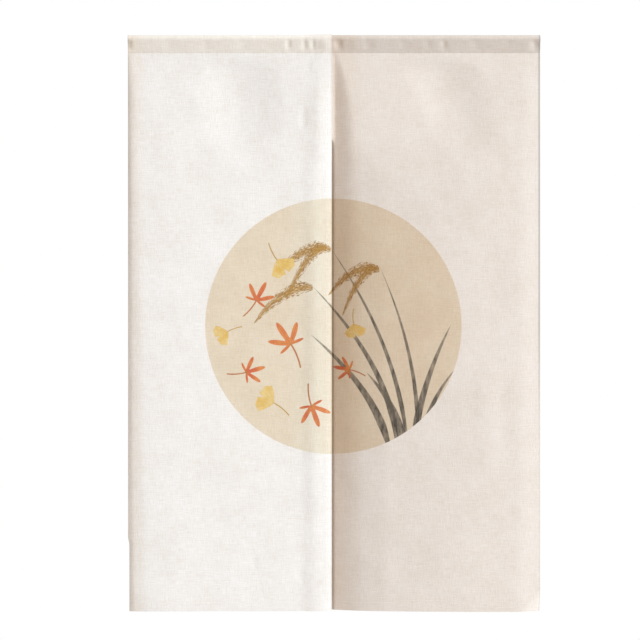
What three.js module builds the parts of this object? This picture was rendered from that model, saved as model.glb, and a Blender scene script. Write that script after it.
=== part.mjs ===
import * as THREE from "three";

// A two-panel noren curtain as it hangs, seen from the front. Millimetres, +X right, +Y away, +Z up.
// The origin is inside the rod sleeve, on the line where the two panels meet.
// Each panel is one length of cloth. Its top is folded to the back and sewn down as the rod sleeve.
// The panels are joined for the top fifth of the drop and hang apart below it.

// Cloth
const CLOTH = 1.2;
const HEM_LAYER = 0.8;
const SIDE_HEM = 12;
const FOOT_HEM = 20;
const GAP = 0.3;

// Outline
const LEFT_EDGE = -424;
const LEFT_EDGE_LOW = -421.4;
const LEFT_STEP = { top: -1032, fade: 14 };
const RIGHT_EDGE = 433;
const RIGHT_SLIT_EDGE = -4;
const FOOT = -1185.5;
const SLIT_TOP = -200;

// Rod sleeve: a round top over the rod's place, drawn in to the stitch line
const SLEEVE_MIDDLE = 5;
const SLEEVE_OUTER = 8.5;
const SLEEVE_INNER = SLEEVE_OUTER - CLOTH;
const STITCH_LINE = -24;
const SLEEVE_FOOT = -27;
const TUNNEL_FOOT = -22.6;
const TUNNEL_FOOT_HALF = 0.15;
const SLEEVE_ARC_STEPS = 8;
const SLEEVE_WALL_STEPS = 4;

// Panels start under the sleeve, in the plane of its front layer
const PANEL_TOP = SLEEVE_FOOT - GAP;
const PANEL_PLANE = -CLOTH / 2;

// Where the panels are joined, the left one's edge lies over the right one's
const LAP_LIFT = CLOTH + HEM_LAYER + 2 * GAP;
const LAP_REACH = 56;
const LAP_FLAT = 10;
const LAP_END = SLIT_TOP - 10;
const LAP_FADE = 60;

// The right panel's foot corner is bent back along a short slanting crease
const CORNER = { x: 410, z: -1163, across: [0.75, -0.66], reach: 20, depth: 6 };

// Below the seam the hem of the right panel's slit edge turns sharply back
const SLIT_TURN = { x: 5.5, reach: 9.5, depth: 9, power: 1.5, start: SLIT_TOP + 1, fade: 14 };

// Sections of each panel, one row for each height. Every pair is a place across and its depth behind
// the sleeve's plane: the outer edge, the turn of its hem, where its curl starts, the middle, the fold
// beside the slit (foot and crest), the slit's hem and the slit edge.
const LEFT_SECTIONS = [
  {
    z: PANEL_TOP, edge: 0.6, turn: [-418, 0], curl: [-412, 0], middle: [-215, 0],
    foot: [-70, 0], crest: [-32, 0], hem: [-13, 0], slit: 0.2,
  },
  {
    z: -110, edge: 2.8, turn: [-417, 0.8], curl: [-408, 0.1], middle: [-215, 3],
    foot: [-76, 1.5], crest: [-32, 0.8], hem: [-13, 2.6], slit: 4.6,
  },
  {
    z: -200, edge: 3.6, turn: [-416, 1.2], curl: [-403, 0.3], middle: [-215, 4.2],
    foot: [-72, 4.1], crest: [-35, 3.4], hem: [-13, 5.9], slit: 8.2,
  },
  {
    z: -206, edge: 3.7, turn: [-416, 1.2], curl: [-403, 0.3], middle: [-215, 4.2],
    foot: [-72, 4.2], crest: [-35, 3.5], hem: [-13, 6], slit: 8.3,
  },
  {
    z: -330, edge: 4.6, turn: [-415, 1.7], curl: [-399, 0.5], middle: [-230, 3.8],
    foot: [-68, 5.8], crest: [-37, 4.7], hem: [-13, 6.2], slit: 8.4,
  },
  {
    z: -620, edge: 5.2, turn: [-414, 2.2], curl: [-394, 0.6], middle: [-225, 3.8],
    foot: [-65, 6.8], crest: [-34, 5.1], hem: [-13, 6.4], slit: 8.5,
  },
  {
    z: -900, edge: 5.6, turn: [-414, 2.6], curl: [-390, 0.8], middle: [-235, 4.2],
    foot: [-66, 6.9], crest: [-36, 5.2], hem: [-13, 6.5], slit: 8.6,
  },
  {
    z: -1030, edge: 6, turn: [-412, 2.9], curl: [-384, 0.9], middle: [-230, 4.4],
    foot: [-64, 6.7], crest: [-36, 5.1], hem: [-13, 6.5], slit: 8.5,
  },
  {
    z: FOOT, edge: 6.6, turn: [-411, 3.3], curl: [-380, 1], middle: [-230, 4.8],
    foot: [-66, 6.7], crest: [-35, 5.2], hem: [-13, 6.5], slit: 8.4,
  },
];

// The right panel falls back to the slit: a lip, a steep wall, then a shoulder and a soft crest.
const RIGHT_SECTIONS = [
  {
    z: PANEL_TOP, slit: 0, lip: [6.5, 0.3], wall: [14, 0], shoulder: [40, 0],
    crest: [117, 0], middle: [300, 0], curl: [392, 0], edge: 0,
  },
  {
    z: -110, slit: 4.6, lip: [6.5, 6.2], wall: [38, -0.6], shoulder: [64, -0.2],
    crest: [117, 0.3], middle: [300, 0.2], curl: [396, -1.2], edge: 0.4,
  },
  {
    z: -200, slit: 8, lip: [6.5, 9.9], wall: [48, 1.4], shoulder: [80, 1.5],
    crest: [117, 1.2], middle: [304, -1.8], curl: [390, -2.6], edge: -0.8,
  },
  {
    z: -206, slit: 8.4, lip: [6.5, 10.2], wall: [48, 1.7], shoulder: [80, 1.7],
    crest: [117, 1.3], middle: [304, -1.9], curl: [390, -2.7], edge: -0.8,
  },
  {
    z: -226, slit: 13.5, lip: [6.5, 12], wall: [48, 3], shoulder: [79, 2.4],
    crest: [117, 1.7], middle: [306, -2.2], curl: [390, -2.9], edge: -0.9,
  },
  {
    z: -330, slit: 23.5, lip: [6.5, 20.4], wall: [44, 10.6], shoulder: [72, 7],
    crest: [117, 3.4], middle: [310, -3.6], curl: [386, -3.8], edge: -1.2,
  },
  {
    z: -620, slit: 29, lip: [6.5, 25.8], wall: [42, 15.2], shoulder: [69, 9.9],
    crest: [117, 3.9], middle: [312, -4.4], curl: [382, -4.4], edge: -0.8,
  },
  {
    z: -900, slit: 29, lip: [6.5, 25.6], wall: [44, 15], shoulder: [72, 9.7],
    crest: [118, 4], middle: [312, -4.4], curl: [382, -4.4], edge: -0.7,
  },
  {
    z: -955, slit: 27.6, lip: [6.5, 24.8], wall: [66, 10.6], shoulder: [88, 7.4],
    crest: [120, 4], middle: [312, -4.4], curl: [382, -4.4], edge: -0.7,
  },
  {
    z: -1020, slit: 28, lip: [6.5, 24.8], wall: [48, 13.9], shoulder: [74, 9.2],
    crest: [118, 4], middle: [312, -4.2], curl: [382, -4.2], edge: -0.5,
  },
  {
    z: -1110, slit: 27.2, lip: [6.5, 24.4], wall: [62, 11.4], shoulder: [84, 7.8],
    crest: [118, 4], middle: [310, -4], curl: [380, -4], edge: -0.2,
  },
  {
    z: FOOT, slit: 27, lip: [6.5, 24], wall: [52, 12.8], shoulder: [78, 8.6],
    crest: [117, 4.1], middle: [308, -3.8], curl: [380, -3.7], edge: 0.1,
  },
];

// Soft troughs (depth above 0) and ridges (below 0), each an oval about a short line on the panel
const LEFT_CREASES = [
  { what: "hollow under the sleeve", from: [-196, -30], to: [-186, -190], half: 96, depth: 4.2 },
  { what: "short wrinkle by the seam", from: [-58, -134], to: [-60, -182], half: 13, depth: 0.9 },
  { what: "dimple near the foot", from: [-164, -1074], to: [-162, -1084], half: 15, depth: 0.6 },
  { what: "dimple by the slit's foot", from: [-66, -1104], to: [-65, -1116], half: 14, depth: 0.6 },
];
const RIGHT_CREASES = [
  { what: "slanting fold under the sleeve", from: [212, -26], to: [282, -186], half: 84, depth: 4 },
  { what: "wide foot of the fold", from: [196, -90], to: [226, -260], half: 118, depth: 2 },
  { what: "long ridge in the middle", from: [324, -650], to: [325, -946], half: 38, depth: -1 },
];

const CREASE_FADE = 40;

// Wrinkles of the sleeve's front layer: dents (above 0) and puffs (below 0)
const LEFT_SLEEVE_WRINKLES = [
  { x: -424, half: 12, depth: 2.5 },
  { x: -340, half: 14, depth: 0.5 },
  { x: -262, half: 12, depth: 0.6 },
  { x: -186, half: 16, depth: 0.5 },
  { x: -90, half: 8, depth: 1.5 },
  { x: -57, half: 8, depth: 1.5 },
  { x: -39, half: 7, depth: 1.3 },
  { x: -14, half: 15, depth: -1.1 },
];
const RIGHT_SLEEVE_WRINKLES = [
  { x: 14, half: 12, depth: 2.3 },
  { x: 46, half: 12, depth: -0.5 },
  { x: 74, half: 12, depth: 0.8 },
  { x: 150, half: 14, depth: 0.6 },
  { x: 200, half: 12, depth: 0.8 },
  { x: 233, half: 9, depth: 1.4 },
  { x: 300, half: 16, depth: 0.7 },
  { x: 366, half: 14, depth: 0.6 },
  { x: 421, half: 12, depth: 1.9 },
];

// The wrinkles fade in below the sleeve's round top and out again at the stitch line
const WRINKLE_TOP = SLEEVE_MIDDLE + 3;
const WRINKLE_FADE_TOP = 12;
const WRINKLE_FADE_FOOT = 18;

// Spacing of the lines across each panel, down both panels and along each sleeve
const LEFT_COLUMNS = [
  { to: LEFT_EDGE + SIDE_HEM, step: 4 },
  { to: LEFT_EDGE + SIDE_HEM + 1, step: 1 },
  { to: -380, step: 11 },
  { to: -172, step: 42 },
  { to: -98, step: 15 },
  { to: -72, step: 9 },
  { to: -30, step: 6 },
  { to: -SIDE_HEM - 1, step: 9 },
  { to: -SIDE_HEM, step: 1 },
  { to: 0, step: 4 },
];
const RIGHT_COLUMNS = [
  { to: RIGHT_SLIT_EDGE + SIDE_HEM, step: 4 },
  { to: RIGHT_SLIT_EDGE + SIDE_HEM + 1, step: 1 },
  { to: 69, step: 7.5 },
  { to: 117, step: 16 },
  { to: 250, step: 22 },
  { to: 360, step: 14 },
  { to: RIGHT_EDGE - SIDE_HEM - 1, step: 12 },
  { to: RIGHT_EDGE - SIDE_HEM, step: 1 },
  { to: RIGHT_EDGE, step: 6 },
];
const ROWS = [
  { to: -206, step: 22 },
  { to: -226, step: 20 },
  { to: -340, step: 38 },
  { to: -900, step: 80 },
  { to: -1040, step: 28 },
  { to: FOOT + FOOT_HEM + 1, step: 25 },
  { to: FOOT + FOOT_HEM, step: 1 },
  { to: FOOT, step: 10 },
];
const SLEEVE_STEP = 24;
const SLEEVE_STEP_LEAST = 1.4;
const WRINKLE_STEPS = 2;

// Colours of the cloth where it faces the light and where it turns from it
const CLOTH_LEFT = "#f0ece6";
const CLOTH_RIGHT = "#e6ddd2";
const SLEEVE_LEFT = "#e6e0d8";
const SLEEVE_RIGHT = "#d8cdc2";
const CLOTH_ROUGHNESS = 0.95;

const clamp = (t) => Math.min(1, Math.max(0, t));
const smooth = (t) => clamp(t) ** 2 * (3 - 2 * clamp(t));
const bump = (s) => Math.max(0, 1 - s * s) ** 2;

// Places from start to the end of each span, evenly spaced within it
function spaced(start, spans) {
  const places = [start];
  for (const { to, step } of spans) {
    const from = places.at(-1);
    const count = Math.max(1, Math.round(Math.abs(to - from) / step));
    for (let i = 1; i <= count; i++) places.push(from + ((to - from) * i) / count);
  }
  return places;
}

// A smooth line through the points (xs, ys) that never overshoots them
function along(xs, ys, x) {
  const last = xs.length - 1;
  const rise = (i) => (ys[i + 1] - ys[i]) / (xs[i + 1] - xs[i]);
  const slope = (i) => {
    if (i === 0) return rise(0);
    if (i === last) return rise(last - 1);
    const [a, b] = [rise(i - 1), rise(i)];
    return a * b > 0 ? (2 * a * b) / (a + b) : 0;
  };
  const at = xs.findIndex((value) => value > x);
  const i = at < 0 ? last - 1 : Math.max(0, at - 1);
  const width = xs[i + 1] - xs[i];
  const t = clamp((x - xs[i]) / width);
  const u = 1 - t;
  const ends = u * u * (1 + 2 * t) * ys[i] + t * t * (1 + 2 * u) * ys[i + 1];
  return ends + width * t * u * (u * slope(i) - t * slope(i + 1));
}

// One column of a section table, at the height z
const atHeight = (rows, z, read) => along(rows.map((row) => -row.z), rows.map(read), -z);

// Depth that the creases near the point (x, z) add. The stitch line holds the cloth flat.
function creased(creases, x, z) {
  const free = smooth((STITCH_LINE - z) / CREASE_FADE);
  let depth = 0;
  for (const { from, to, half, depth: most } of creases) {
    const [dx, dz] = [to[0] - from[0], to[1] - from[1]];
    const length = Math.hypot(dx, dz);
    const [offX, offZ] = [x - (from[0] + to[0]) / 2, z - (from[1] + to[1]) / 2];
    const lengthwise = (offX * dx + offZ * dz) / length / (length / 2 + half);
    const crosswise = (offX * dz - offZ * dx) / length / half;
    depth += most * free * bump(Math.min(1, Math.hypot(lengthwise, crosswise)));
  }
  return depth;
}

function leftEdgeAt(z) {
  const low = smooth((LEFT_STEP.top - z) / LEFT_STEP.fade);
  return THREE.MathUtils.lerp(LEFT_EDGE, LEFT_EDGE_LOW, low);
}

function leftDepth(x, z) {
  const lines = ["turn", "curl", "middle", "foot", "crest", "hem"];
  const xs = lines.map((line) => atHeight(LEFT_SECTIONS, z, (row) => row[line][0]));
  const ys = lines.map((line) => atHeight(LEFT_SECTIONS, z, (row) => row[line][1]));
  const edge = atHeight(LEFT_SECTIONS, z, (row) => row.edge);
  const slit = atHeight(LEFT_SECTIONS, z, (row) => row.slit);
  const depth = along([leftEdgeAt(z), ...xs, 0], [edge, ...ys, slit], x);
  const lapped = smooth((LAP_END - LAP_FADE - z) / -LAP_FADE);
  const lift = LAP_LIFT * lapped * smooth((x + LAP_REACH) / (LAP_REACH - LAP_FLAT));
  return depth + creased(LEFT_CREASES, x, z) - lift;
}

function rightDepth(x, z) {
  const lines = ["lip", "wall", "shoulder", "crest", "middle", "curl"];
  const xs = lines.map((line) => atHeight(RIGHT_SECTIONS, z, (row) => row[line][0]));
  const ys = lines.map((line) => atHeight(RIGHT_SECTIONS, z, (row) => row[line][1]));
  const edge = atHeight(RIGHT_SECTIONS, z, (row) => row.edge);
  const slit = atHeight(RIGHT_SECTIONS, z, (row) => row.slit);
  const hem = slit + ((ys[0] - slit) * (x - RIGHT_SLIT_EDGE)) / (xs[0] - RIGHT_SLIT_EDGE);
  const depth = x < xs[0] ? hem : along([...xs, RIGHT_EDGE], [...ys, edge], x);
  const past = (x - CORNER.x) * CORNER.across[0] + (z - CORNER.z) * CORNER.across[1];
  const bent = CORNER.depth * clamp(past / CORNER.reach) ** 2;
  const back = clamp((SLIT_TURN.x - x) / SLIT_TURN.reach) ** SLIT_TURN.power;
  const turned = SLIT_TURN.depth * back * smooth((SLIT_TURN.start - z) / SLIT_TURN.fade);
  return depth + creased(RIGHT_CREASES, x, z) + bent + turned;
}

// Indexed triangles of the closed sheet between a front and a back grid of the same size
function sheetGeometry(front, back) {
  const rows = front.length;
  const columns = front[0].length;
  const size = rows * columns;
  const index = [];
  const quad = (a, b, c, d) => index.push(a, b, c, a, c, d);
  const at = (row, column) => row * columns + column;
  for (let j = 0; j + 1 < rows; j++) {
    for (let i = 0; i + 1 < columns; i++) {
      const [a, b, c, d] = [at(j, i), at(j, i + 1), at(j + 1, i + 1), at(j + 1, i)];
      quad(a, d, c, b);
      quad(size + a, size + b, size + c, size + d);
    }
  }
  const rim = [];
  for (let i = 0; i + 1 < columns; i++) rim.push(at(0, i));
  for (let j = 0; j + 1 < rows; j++) rim.push(at(j, columns - 1));
  for (let i = columns - 1; i > 0; i--) rim.push(at(rows - 1, i));
  for (let j = rows - 1; j > 0; j--) rim.push(at(j, 0));
  rim.forEach((a, k) => {
    const b = rim[(k + 1) % rim.length];
    quad(a, b, size + b, size + a);
  });
  return indexed([...front.flat(), ...back.flat()], index);
}

function indexed(points, index) {
  const geometry = new THREE.BufferGeometry();
  geometry.setAttribute("position", new THREE.Float32BufferAttribute(points.flat(), 3));
  geometry.setIndex(index);
  geometry.computeVertexNormals();
  return geometry;
}

// A panel's solid: its hanging surface thickened square to itself, with the hems' extra layer behind.
// hemmed(x, z) is true on a hem.
function panelGeometry(columns, depth, place, hemmed) {
  const front = [];
  const back = [];
  const nudge = 0.5;
  for (const z of spaced(PANEL_TOP, ROWS)) {
    const [fronts, backs] = [[], []];
    for (const column of columns) {
      const x = place(column, z);
      const y = PANEL_PLANE + depth(x, z);
      const across = (depth(x + nudge, z) - depth(x - nudge, z)) / (2 * nudge);
      const normal = new THREE.Vector3(-across, 1, 0).normalize();
      const behind = CLOTH / 2 + (hemmed(column, z) ? HEM_LAYER : 0);
      fronts.push([x - (normal.x * CLOTH) / 2, y - (normal.y * CLOTH) / 2, z]);
      backs.push([x + normal.x * behind, y + normal.y * behind, z]);
    }
    front.push(fronts);
    back.push(backs);
  }
  return sheetGeometry(front, back);
}

// Section of the sleeve as [y, z] points: up the front wall, over the top and down the back wall.
// foot is the half width at the height footZ, where the two walls end.
function sleeveRing(radius, foot, footZ) {
  const drop = footZ - SLEEVE_MIDDLE;
  const tangent = Math.atan2(drop, foot) + Math.acos(radius / Math.hypot(foot, drop));
  const points = [];
  for (let k = 0; k <= SLEEVE_ARC_STEPS; k++) {
    const angle = THREE.MathUtils.lerp(Math.PI - tangent, tangent, k / SLEEVE_ARC_STEPS);
    points.push([radius * Math.cos(angle), SLEEVE_MIDDLE + radius * Math.sin(angle)]);
  }
  const start = points[0];
  const walls = [];
  for (let k = 0; k < SLEEVE_WALL_STEPS; k++) {
    const t = k / SLEEVE_WALL_STEPS;
    walls.push([-THREE.MathUtils.lerp(foot, -start[0], t), THREE.MathUtils.lerp(footZ, start[1], t)]);
  }
  const behind = walls.map(([y, z]) => [-y, z]).reverse();
  return [...walls, ...points, ...behind];
}

// A sleeve's solid: the ring carried from one end to the other, its front wall dented by the wrinkles
function sleeveGeometry(from, to, wrinkles) {
  const loop = sleeveRing(SLEEVE_OUTER, CLOTH, STITCH_LINE);
  const outer = [[-CLOTH, SLEEVE_FOOT], ...loop, [CLOTH, SLEEVE_FOOT]];
  const inner = sleeveRing(SLEEVE_INNER, TUNNEL_FOOT_HALF, TUNNEL_FOOT);
  const marks = new Set([from, to]);
  for (const { x, half } of wrinkles) {
    for (let k = -WRINKLE_STEPS; k <= WRINKLE_STEPS; k++) {
      const mark = x + (half * k) / WRINKLE_STEPS;
      if (mark > from + 1 && mark < to - 1) marks.add(mark);
    }
  }
  const sorted = [...marks].sort((a, b) => a - b);
  const stations = sorted.slice(0, 1);
  for (const mark of sorted.slice(1)) {
    const step = mark - stations.at(-1);
    if (step < SLEEVE_STEP_LEAST && mark !== to) continue;
    const parts = Math.max(1, Math.round(step / SLEEVE_STEP));
    const start = stations.at(-1);
    for (let k = 1; k <= parts; k++) stations.push(start + (step * k) / parts);
  }
  const near = (x, wrinkle) => bump(Math.min(1, Math.abs(x - wrinkle.x) / wrinkle.half));
  const dented = (x, [y, z]) => {
    const dent = wrinkles.reduce((sum, wrinkle) => sum + wrinkle.depth * near(x, wrinkle), 0);
    const down = smooth((WRINKLE_TOP - z) / WRINKLE_FADE_TOP) * smooth((z - STITCH_LINE) / WRINKLE_FADE_FOOT);
    return [x, y + (y < 0 ? dent * down : 0), z];
  };
  const points = [];
  const index = [];
  const ring = outer.length + inner.length;
  for (const x of stations) {
    points.push(...outer.map((point) => dented(x, point)), ...inner.map((point) => dented(x, point)));
  }
  const skin = (start, count, facing) => {
    for (let s = 0; s + 1 < stations.length; s++) {
      for (let k = 0; k < count; k++) {
        const a = s * ring + start + k;
        const b = s * ring + start + ((k + 1) % count);
        const quad = [a, b, b + ring, a, b + ring, a + ring];
        index.push(...(facing > 0 ? quad.reverse() : quad));
      }
    }
  };
  skin(0, outer.length, 1);
  skin(outer.length, inner.length, -1);
  const flat = (list) => list.map(([y, z]) => new THREE.Vector2(y, z));
  const end = (stations.length - 1) * ring;
  for (const [a, b, c] of THREE.ShapeUtils.triangulateShape(flat(outer), [flat(inner)])) {
    index.push(a, c, b, end + a, end + b, end + c);
  }
  return indexed(points, index);
}

const curtain = new THREE.Group();

function add(name, geometry, color) {
  const material = new THREE.MeshStandardMaterial({ color, roughness: CLOTH_ROUGHNESS, metalness: 0 });
  const mesh = new THREE.Mesh(geometry, material);
  mesh.name = name;
  curtain.add(mesh);
}

const onFootHem = (z) => z <= FOOT + FOOT_HEM;

// Left panel, from its outer edge to the slit line
const leftPlace = (x, z) => (x / LEFT_EDGE) * leftEdgeAt(z);
const leftHemmed = (x, z) => x <= LEFT_EDGE + SIDE_HEM || x >= -SIDE_HEM || onFootHem(z);
const leftColumns = spaced(LEFT_EDGE, LEFT_COLUMNS);
add("panel_left", panelGeometry(leftColumns, leftDepth, leftPlace, leftHemmed), CLOTH_LEFT);

// Right panel, from its slit edge, which lies behind the left panel's, to its outer edge
const rightPlace = (x) => x;
const rightHemmed = (x, z) => {
  return x <= RIGHT_SLIT_EDGE + SIDE_HEM || x >= RIGHT_EDGE - SIDE_HEM || onFootHem(z);
};
const rightColumns = spaced(RIGHT_SLIT_EDGE, RIGHT_COLUMNS);
add("panel_right", panelGeometry(rightColumns, rightDepth, rightPlace, rightHemmed), CLOTH_RIGHT);

// Rod sleeves, the folded tops of the two panels, meeting end to end at the seam
add("sleeve_left", sleeveGeometry(LEFT_EDGE, 0, LEFT_SLEEVE_WRINKLES), SLEEVE_LEFT);
add("sleeve_right", sleeveGeometry(GAP, RIGHT_EDGE, RIGHT_SLEEVE_WRINKLES), SLEEVE_RIGHT);

export default curtain;
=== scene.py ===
import bpy
import numpy as np
from math import acos, atan2, cos, hypot, pi, radians, sin
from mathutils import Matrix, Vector, noise


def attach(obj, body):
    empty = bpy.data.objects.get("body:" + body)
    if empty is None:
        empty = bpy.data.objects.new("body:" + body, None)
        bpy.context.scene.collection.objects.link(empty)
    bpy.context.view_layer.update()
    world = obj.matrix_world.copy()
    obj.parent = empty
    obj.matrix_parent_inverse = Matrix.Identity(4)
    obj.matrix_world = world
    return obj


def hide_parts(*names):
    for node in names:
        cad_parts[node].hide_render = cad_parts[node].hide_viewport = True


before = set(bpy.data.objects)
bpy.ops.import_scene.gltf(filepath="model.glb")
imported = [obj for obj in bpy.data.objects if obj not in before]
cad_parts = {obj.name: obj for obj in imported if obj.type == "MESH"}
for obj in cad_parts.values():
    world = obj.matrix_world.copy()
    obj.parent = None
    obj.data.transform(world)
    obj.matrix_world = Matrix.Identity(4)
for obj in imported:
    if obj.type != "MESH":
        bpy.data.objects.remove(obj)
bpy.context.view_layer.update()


# LINEN. Both panels are cut from one off-white plain weave of cotton and linen.
# Its yarns are uneven: thick and thin places run along the warp and the weft.
# The weave reads the flat cloth: metres across from the slit, and metres up.

WARP_PITCH = 0.00095
WEFT_PITCH = 0.00105
YARN_HEIGHT = 0.00011
SLUB_HEIGHT = 0.00022
# The yarns wander sideways by this much, in about so many waves to the metre
WANDER = 0.0035
WANDER_WAVES = 26.0
# Thick and thin places to the metre, across and up: those of the warp, then those of the weft
FINE_SLUBS = [(560.0, 60.0), (52.0, 520.0)]
WIDE_SLUBS = [(230.0, 17.0), (19.0, 200.0)]
FINE_SHARE = 0.75
CLOUD_WAVES = 13.0
# How strongly the slubs and the clouds show in the tone, which runs from 0 to 1
SLUB_TONE = 1.9
CLOUD_TONE = 1.1


def feed(tree, socket, value):
    """Link the socket if value is a socket, set it if value is a value, and leave it if it is None."""
    if isinstance(value, bpy.types.NodeSocket):
        tree.links.new(value, socket)
    elif value is not None:
        socket.default_value = value


def put(tree, kind, inputs=(), family="ShaderNode", **settings):
    """A node with its settings, its inputs fed in order or, from a dictionary, by name."""
    made = tree.nodes.new(family + kind)
    for key, value in settings.items():
        setattr(made, key, value)
    pairs = inputs.items() if isinstance(inputs, dict) else enumerate(inputs)
    for key, value in pairs:
        feed(tree, made.inputs[key], value)
    return made


def calc(tree, operation, *values, clamp=False):
    return put(tree, "Math", values, operation=operation, use_clamp=clamp).outputs[0]


def blended(tree, factor, a, b, how="MIX"):
    made = put(tree, "Mix", data_type="RGBA", blend_type=how)
    for index, value in ((0, factor), (6, a), (7, b)):
        feed(tree, made.inputs[index], value)
    return made.outputs[2]


def parts_of(tree, vector):
    return put(tree, "SeparateXYZ", [vector]).outputs


def vector_of(tree, x, y, z=0.0):
    return put(tree, "CombineXYZ", [x, y, z]).outputs[0]


def stretched(tree, x, y, x_waves, y_waves, z=0.0):
    """The place (x, y) scaled by its own number of waves each way, for a noise to read."""
    return vector_of(tree, calc(tree, "MULTIPLY", x, x_waves), calc(tree, "MULTIPLY", y, y_waves), z)


def noise_at(tree, vector, scale, detail=2.0, roughness=0.5):
    named = {"Vector": vector, "Scale": scale, "Detail": detail, "Roughness": roughness}
    return put(tree, "TexNoise", named).outputs[0]


def new_group(name, inputs, outputs):
    """A shader group with named sockets: (tree, its inputs by name, a function that sets its outputs)."""
    tree = bpy.data.node_groups.new(name, "ShaderNodeTree")
    kinds = {"vector": "NodeSocketVector", "colour": "NodeSocketColor", "value": "NodeSocketFloat"}
    for label, kind in inputs:
        tree.interface.new_socket(label, in_out="INPUT", socket_type=kinds[kind])
    for label, kind in outputs:
        tree.interface.new_socket(label, in_out="OUTPUT", socket_type=kinds[kind])
    entry = tree.nodes.new("NodeGroupInput")
    leave = tree.nodes.new("NodeGroupOutput")

    def out(**values):
        for label, value in values.items():
            tree.links.new(value, leave.inputs[label])

    return tree, entry.outputs, out


def use(tree, group, **values):
    """The group placed in the tree, its inputs fed by name, with _ for a space: its outputs."""
    made = tree.nodes.new("ShaderNodeGroup")
    made.node_tree = group
    for label, value in values.items():
        feed(tree, made.inputs[label.replace("_", " ")], value)
    return made.outputs


def make_linen():
    tree, given, out = new_group(
        "Linen weave",
        [("Flat", "vector")],
        [("Tone", "value"), ("Height", "value")],
    )
    sway = put(tree, "TexNoise", {"Vector": given["Flat"], "Scale": WANDER_WAVES, "Detail": 1.0})
    shift = put(tree, "VectorMath", [sway.outputs[1], (0.5, 0.5, 0.5)], operation="SUBTRACT")
    strength = put(tree, "VectorMath", [shift.outputs[0]], operation="SCALE")
    strength.inputs["Scale"].default_value = WANDER
    swayed = put(tree, "VectorMath", [given["Flat"], strength.outputs[0]], operation="ADD")
    x, z, _ = parts_of(tree, swayed.outputs[0])
    warp = calc(tree, "SINE", calc(tree, "MULTIPLY", x, pi / WARP_PITCH))
    weft = calc(tree, "SINE", calc(tree, "MULTIPLY", z, pi / WEFT_PITCH))
    over = calc(tree, "MULTIPLY_ADD", calc(tree, "MULTIPLY", warp, weft), 0.5, 0.5)
    up = calc(tree, "MULTIPLY", calc(tree, "ABSOLUTE", warp), over)
    under = calc(tree, "SUBTRACT", 1.0, over)
    yarns = calc(tree, "MULTIPLY_ADD", calc(tree, "ABSOLUTE", weft), under, up)

    def slubs_in(waves):
        warp_slubs, weft_slubs = [noise_at(tree, stretched(tree, x, z, *each), 1.0) for each in waves]
        return calc(tree, "ADD", warp_slubs, weft_slubs)

    fine = calc(tree, "MULTIPLY", slubs_in(FINE_SLUBS), FINE_SHARE)
    slubs = calc(tree, "MULTIPLY_ADD", slubs_in(WIDE_SLUBS), 1 - FINE_SHARE, fine)
    streaks = calc(tree, "SUBTRACT", slubs, 1.0)
    clouds = noise_at(tree, given["Flat"], CLOUD_WAVES, detail=4.0, roughness=0.6)
    patches = calc(tree, "SUBTRACT", clouds, 0.5)
    patchy = calc(tree, "MULTIPLY_ADD", patches, CLOUD_TONE, 0.5)
    tone = calc(tree, "MULTIPLY_ADD", streaks, SLUB_TONE, patchy, clamp=True)
    height = calc(tree, "MULTIPLY_ADD", slubs, SLUB_HEIGHT, calc(tree, "MULTIPLY", yarns, YARN_HEIGHT))
    out(Tone=tone, Height=height)
    return tree


linen = make_linen()


# PRINTED ROUND. One disc of cream dye lies across both panels, with a design in thin washes:
# tall autumn grass with seed heads, and maple and ginkgo leaves that drift down beside it.
# It is dye on the flat cloth, so it follows the folds and shows more weakly on the back.

ROUND_ACROSS = 0.003
ROUND_MIDDLE = -0.592
ROUND_RADIUS = 0.267
GROUND_DEEP = (0.858, 0.752, 0.60, 1)
GROUND_PALE = (0.918, 0.872, 0.74, 1)
INK = (0.022, 0.021, 0.019, 1)
INK_PALE = (0.24, 0.215, 0.17, 1)
OCHRE = (0.62, 0.36, 0.09, 1)
OCHRE_DEEP = (0.30, 0.165, 0.045, 1)
RED = (0.70, 0.105, 0.03, 1)
ORANGE = (0.84, 0.30, 0.07, 1)
YELLOW = (0.86, 0.56, 0.12, 1)
YELLOW_PALE = (0.90, 0.70, 0.30, 1)

# Grass blades and stalks, in radii from the round's middle: start x, start y, rise, lean, arch, width
GRASS = [
    (0.58, -0.98, 1.62, -0.10, -0.52, 0.024),
    (0.50, -0.98, 1.30, -0.05, -0.62, 0.032),
    (0.66, -0.95, 1.42, 0.04, -0.34, 0.022),
    (0.44, -0.98, 0.92, -0.16, -0.46, 0.040),
    (0.62, -0.96, 0.98, 0.10, 0.20, 0.036),
    (0.54, -0.98, 0.62, 0.02, -0.30, 0.042),
    (0.70, -0.92, 0.60, 0.02, 0.24, 0.030),
]
# Seed heads, drooping brush marks at the tops of the stalks: start x, start y, reach, lift, droop, width
SEED_HEADS = [
    (-0.02, 0.60, -0.44, 0.12, -0.34, 0.075),
    (-0.05, 0.62, -0.32, -0.04, -0.38, 0.062),
    (-0.16, 0.30, -0.46, 0.06, -0.34, 0.075),
    (0.36, 0.44, -0.40, 0.13, -0.33, 0.072),
    (0.35, 0.46, -0.28, 0.00, -0.38, 0.060),
]
# Leaves: middle x, middle y, size, turn in degrees, seed of its wash
MAPLE_LEAVES = [
    (-0.60, 0.20, 0.165, 28, 1),
    (-0.33, -0.14, 0.205, -34, 2),
    (-0.68, -0.36, 0.155, 74, 3),
    (-0.17, -0.62, 0.180, 160, 4),
    (0.13, -0.34, 0.135, -80, 5),
]
GINKGO_LEAVES = [
    (-0.44, 0.52, 0.150, 142, 6),
    (-0.82, -0.04, 0.120, -120, 7),
    (-0.46, -0.60, 0.155, -62, 8),
    (0.16, 0.02, 0.120, 168, 9),
]


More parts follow.
